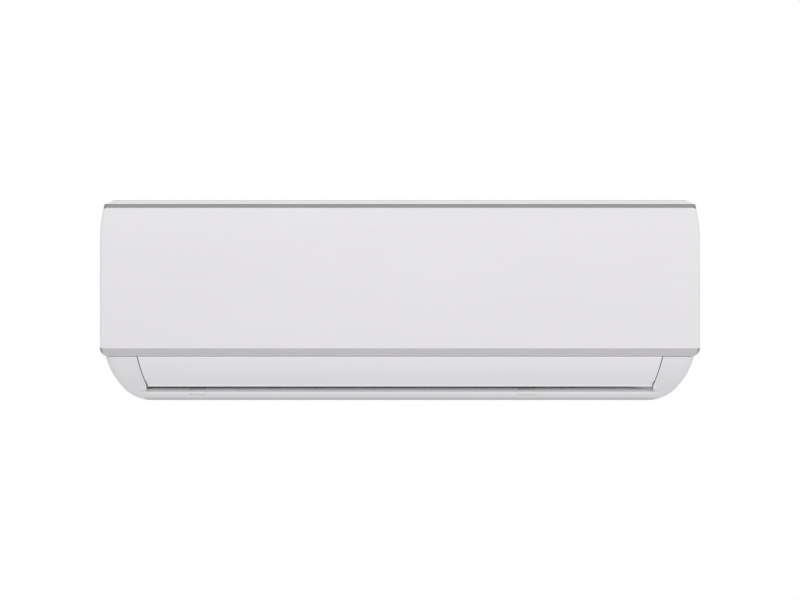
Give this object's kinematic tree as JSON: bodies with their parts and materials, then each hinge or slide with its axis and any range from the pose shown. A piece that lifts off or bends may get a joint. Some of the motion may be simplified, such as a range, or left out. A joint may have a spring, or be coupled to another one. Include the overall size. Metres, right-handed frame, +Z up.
{
  "type": "mini split indoor unit",
  "caption": "Wall-mounted air conditioner indoor unit with hinged front panel, outlet louver, swinging vanes, crossflow fan, coil, filters and a hook-on wall plate.",
  "frame": {"origin": "on the wall, at the centre of the mounting plate's four screw holes", "axes": "+X to the right seen from the room, along the unit; +Y into the wall; +Z up"},
  "size_m": [0.965, 0.2153, 0.322],
  "materials": {
    "white_abs": "semi-gloss white",
    "casing_abs": "satin white",
    "inner_plastic": "matt light grey",
    "silver_trim": "satin silver",
    "grey_trim": "satin grey",
    "vane_plastic": "matt grey",
    "fan_plastic": "matt dark grey",
    "motor_white": "matt white",
    "steel": "plain steel",
    "galvanised": "galvanised sheet",
    "fin_aluminium": "coated fins",
    "copper": "bare copper tube",
    "brass_fitting": "turned brass",
    "rubber_black": "matt black",
    "filter_plastic": "grey net",
    "board_green": "solder mask",
    "part_black": "matt black",
    "sensor_resin": "black resin"
  },
  "bodies": {
    "unit": {"bearing_holder": "rubber_black", "board_parts": "part_black", "casing_screws": "steel", "coil_sensor": "copper", "control_box": "motor_white", "control_box_cover": "galvanised", "cord_clamp": "motor_white", "display_board": "board_green", "display_housing": "casing_abs", "display_parts": "sensor_resin", "drain_plug": "rubber_black", "evaporator_end_plates": "galvanised", "evaporator_fins_front": "fin_aluminium", "evaporator_fins_rear": "fin_aluminium", "evaporator_fins_upper": "fin_aluminium", "fan_bearing": "brass_fitting", "fan_motor": "motor_white", "flare_unions": "brass_fitting", "front_frame": "casing_abs", "gas_pipe": "copper", "hairpin_tubes": "copper", "liquid_pipe": "copper", "louver_motor": "galvanised", "main_board": "board_green", "motor_cover": "inner_plastic", "motor_rubber_rings": "rubber_black", "mounting_plate": "galvanised", "outlet_duct": "inner_plastic", "pipe_clamp": "inner_plastic", "pipe_covers": "inner_plastic", "rear_chassis": "inner_plastic", "return_bends": "copper", "room_sensor": "sensor_resin", "screw_caps": "casing_abs", "terminal_block": "part_black", "terminal_screws": "steel", "top_grille": "casing_abs"},
    "panel": {"front_panel": "white_abs", "panel_top_trim": "grey_trim", "panel_bottom_trim": "silver_trim"},
    "louver": {"louver": "casing_abs"},
    "fan": {"crossflow_fan": "fan_plastic", "fan_screw": "steel", "fan_stub_shaft": "steel", "motor_shaft": "steel"},
    "filter_left": {"air_filter_left": "filter_plastic"},
    "filter_right": {"air_filter_right": "filter_plastic"},
    "button": {"manual_button": "casing_abs"},
    "link_left": {"vane_link_left": "vane_plastic"},
    "link_right": {"vane_link_right": "vane_plastic"},
    "vane_left_1": {"vane_left_1": "vane_plastic"},
    "vane_left_2": {"vane_left_2": "vane_plastic"},
    "vane_left_3": {"vane_left_3": "vane_plastic"},
    "vane_left_4": {"vane_left_4": "vane_plastic"},
    "vane_left_5": {"vane_left_5": "vane_plastic"},
    "vane_right_1": {"vane_right_1": "vane_plastic"},
    "vane_right_2": {"vane_right_2": "vane_plastic"},
    "vane_right_3": {"vane_right_3": "vane_plastic"},
    "vane_right_4": {"vane_right_4": "vane_plastic"},
    "vane_right_5": {"vane_right_5": "vane_plastic"}
  },
  "joints": [
    {"name": "panel_hinge", "type": "hinge", "parent": "unit", "child": "panel", "pos_m": [0, -0.189, 0.149], "axis": [-1, 0, 0], "range_deg": [0, 65]},
    {"name": "louver_hinge", "type": "hinge", "parent": "unit", "child": "louver", "pos_m": [0, -0.1741, -0.1322], "axis": [1, 0, 0], "range_deg": [0, 85]},
    {"name": "fan_spin", "type": "hinge", "parent": "unit", "child": "fan", "pos_m": [0, -0.1, -0.028], "axis": [1, 0, 0], "continuous": true},
    {"name": "filter_left_lift", "type": "slide", "parent": "unit", "child": "filter_left", "axis": [0, 0, 1], "range_m": [0, 0.006]},
    {"name": "filter_right_lift", "type": "slide", "parent": "unit", "child": "filter_right", "axis": [0, 0, 1], "range_m": [0, 0.006]},
    {"name": "manual_button_press", "type": "slide", "parent": "unit", "child": "button", "axis": [0, 1, 0], "range_m": [0, 0.0012], "stiffness_N_per_m": 1200, "springref_m": -0.0006},
    {"name": "vane_left_1_swing", "type": "hinge", "parent": "unit", "child": "vane_left_1", "pos_m": [-0.365, -0.126, -0.12495], "axis": [0, -0.4067, 0.9135], "range_deg": [-30, 30]},
    {"name": "vane_left_2_swing", "type": "hinge", "parent": "unit", "child": "vane_left_2", "pos_m": [-0.295, -0.126, -0.12495], "axis": [0, -0.4067, 0.9135], "range_deg": [-30, 30]},
    {"name": "vane_left_3_swing", "type": "hinge", "parent": "unit", "child": "vane_left_3", "pos_m": [-0.225, -0.126, -0.12495], "axis": [0, -0.4067, 0.9135], "range_deg": [-30, 30]},
    {"name": "vane_left_4_swing", "type": "hinge", "parent": "unit", "child": "vane_left_4", "pos_m": [-0.155, -0.126, -0.12495], "axis": [0, -0.4067, 0.9135], "range_deg": [-30, 30]},
    {"name": "vane_left_5_swing", "type": "hinge", "parent": "unit", "child": "vane_left_5", "pos_m": [-0.085, -0.126, -0.12495], "axis": [0, -0.4067, 0.9135], "range_deg": [-30, 30]},
    {"name": "vane_link_left_pivot", "type": "hinge", "parent": "vane_left_1", "child": "link_left", "pos_m": [-0.365, -0.13788, -0.13023], "axis": [0, -0.4067, 0.9135], "range_deg": [-30, 30]},
    {"name": "vane_right_1_swing", "type": "hinge", "parent": "unit", "child": "vane_right_1", "pos_m": [-0.015, -0.126, -0.12495], "axis": [0, -0.4067, 0.9135], "range_deg": [-30, 30]},
    {"name": "vane_right_2_swing", "type": "hinge", "parent": "unit", "child": "vane_right_2", "pos_m": [0.055, -0.126, -0.12495], "axis": [0, -0.4067, 0.9135], "range_deg": [-30, 30]},
    {"name": "vane_right_3_swing", "type": "hinge", "parent": "unit", "child": "vane_right_3", "pos_m": [0.125, -0.126, -0.12495], "axis": [0, -0.4067, 0.9135], "range_deg": [-30, 30]},
    {"name": "vane_right_4_swing", "type": "hinge", "parent": "unit", "child": "vane_right_4", "pos_m": [0.195, -0.126, -0.12495], "axis": [0, -0.4067, 0.9135], "range_deg": [-30, 30]},
    {"name": "vane_right_5_swing", "type": "hinge", "parent": "unit", "child": "vane_right_5", "pos_m": [0.265, -0.126, -0.12495], "axis": [0, -0.4067, 0.9135], "range_deg": [-30, 30]},
    {"name": "vane_link_right_pivot", "type": "hinge", "parent": "vane_right_1", "child": "link_right", "pos_m": [-0.015, -0.13788, -0.13023], "axis": [0, -0.4067, 0.9135], "range_deg": [-30, 30]}
  ],
  "couplings": [
    {"joint": "vane_left_2_swing", "follows": "vane_left_1_swing", "ratio": 1},
    {"joint": "vane_left_3_swing", "follows": "vane_left_1_swing", "ratio": 1},
    {"joint": "vane_left_4_swing", "follows": "vane_left_1_swing", "ratio": 1},
    {"joint": "vane_left_5_swing", "follows": "vane_left_1_swing", "ratio": 1},
    {"joint": "vane_link_left_pivot", "follows": "vane_left_1_swing", "ratio": -1},
    {"joint": "vane_right_2_swing", "follows": "vane_right_1_swing", "ratio": 1},
    {"joint": "vane_right_3_swing", "follows": "vane_right_1_swing", "ratio": 1},
    {"joint": "vane_right_4_swing", "follows": "vane_right_1_swing", "ratio": 1},
    {"joint": "vane_right_5_swing", "follows": "vane_right_1_swing", "ratio": 1},
    {"joint": "vane_link_right_pivot", "follows": "vane_right_1_swing", "ratio": -1}
  ]
}
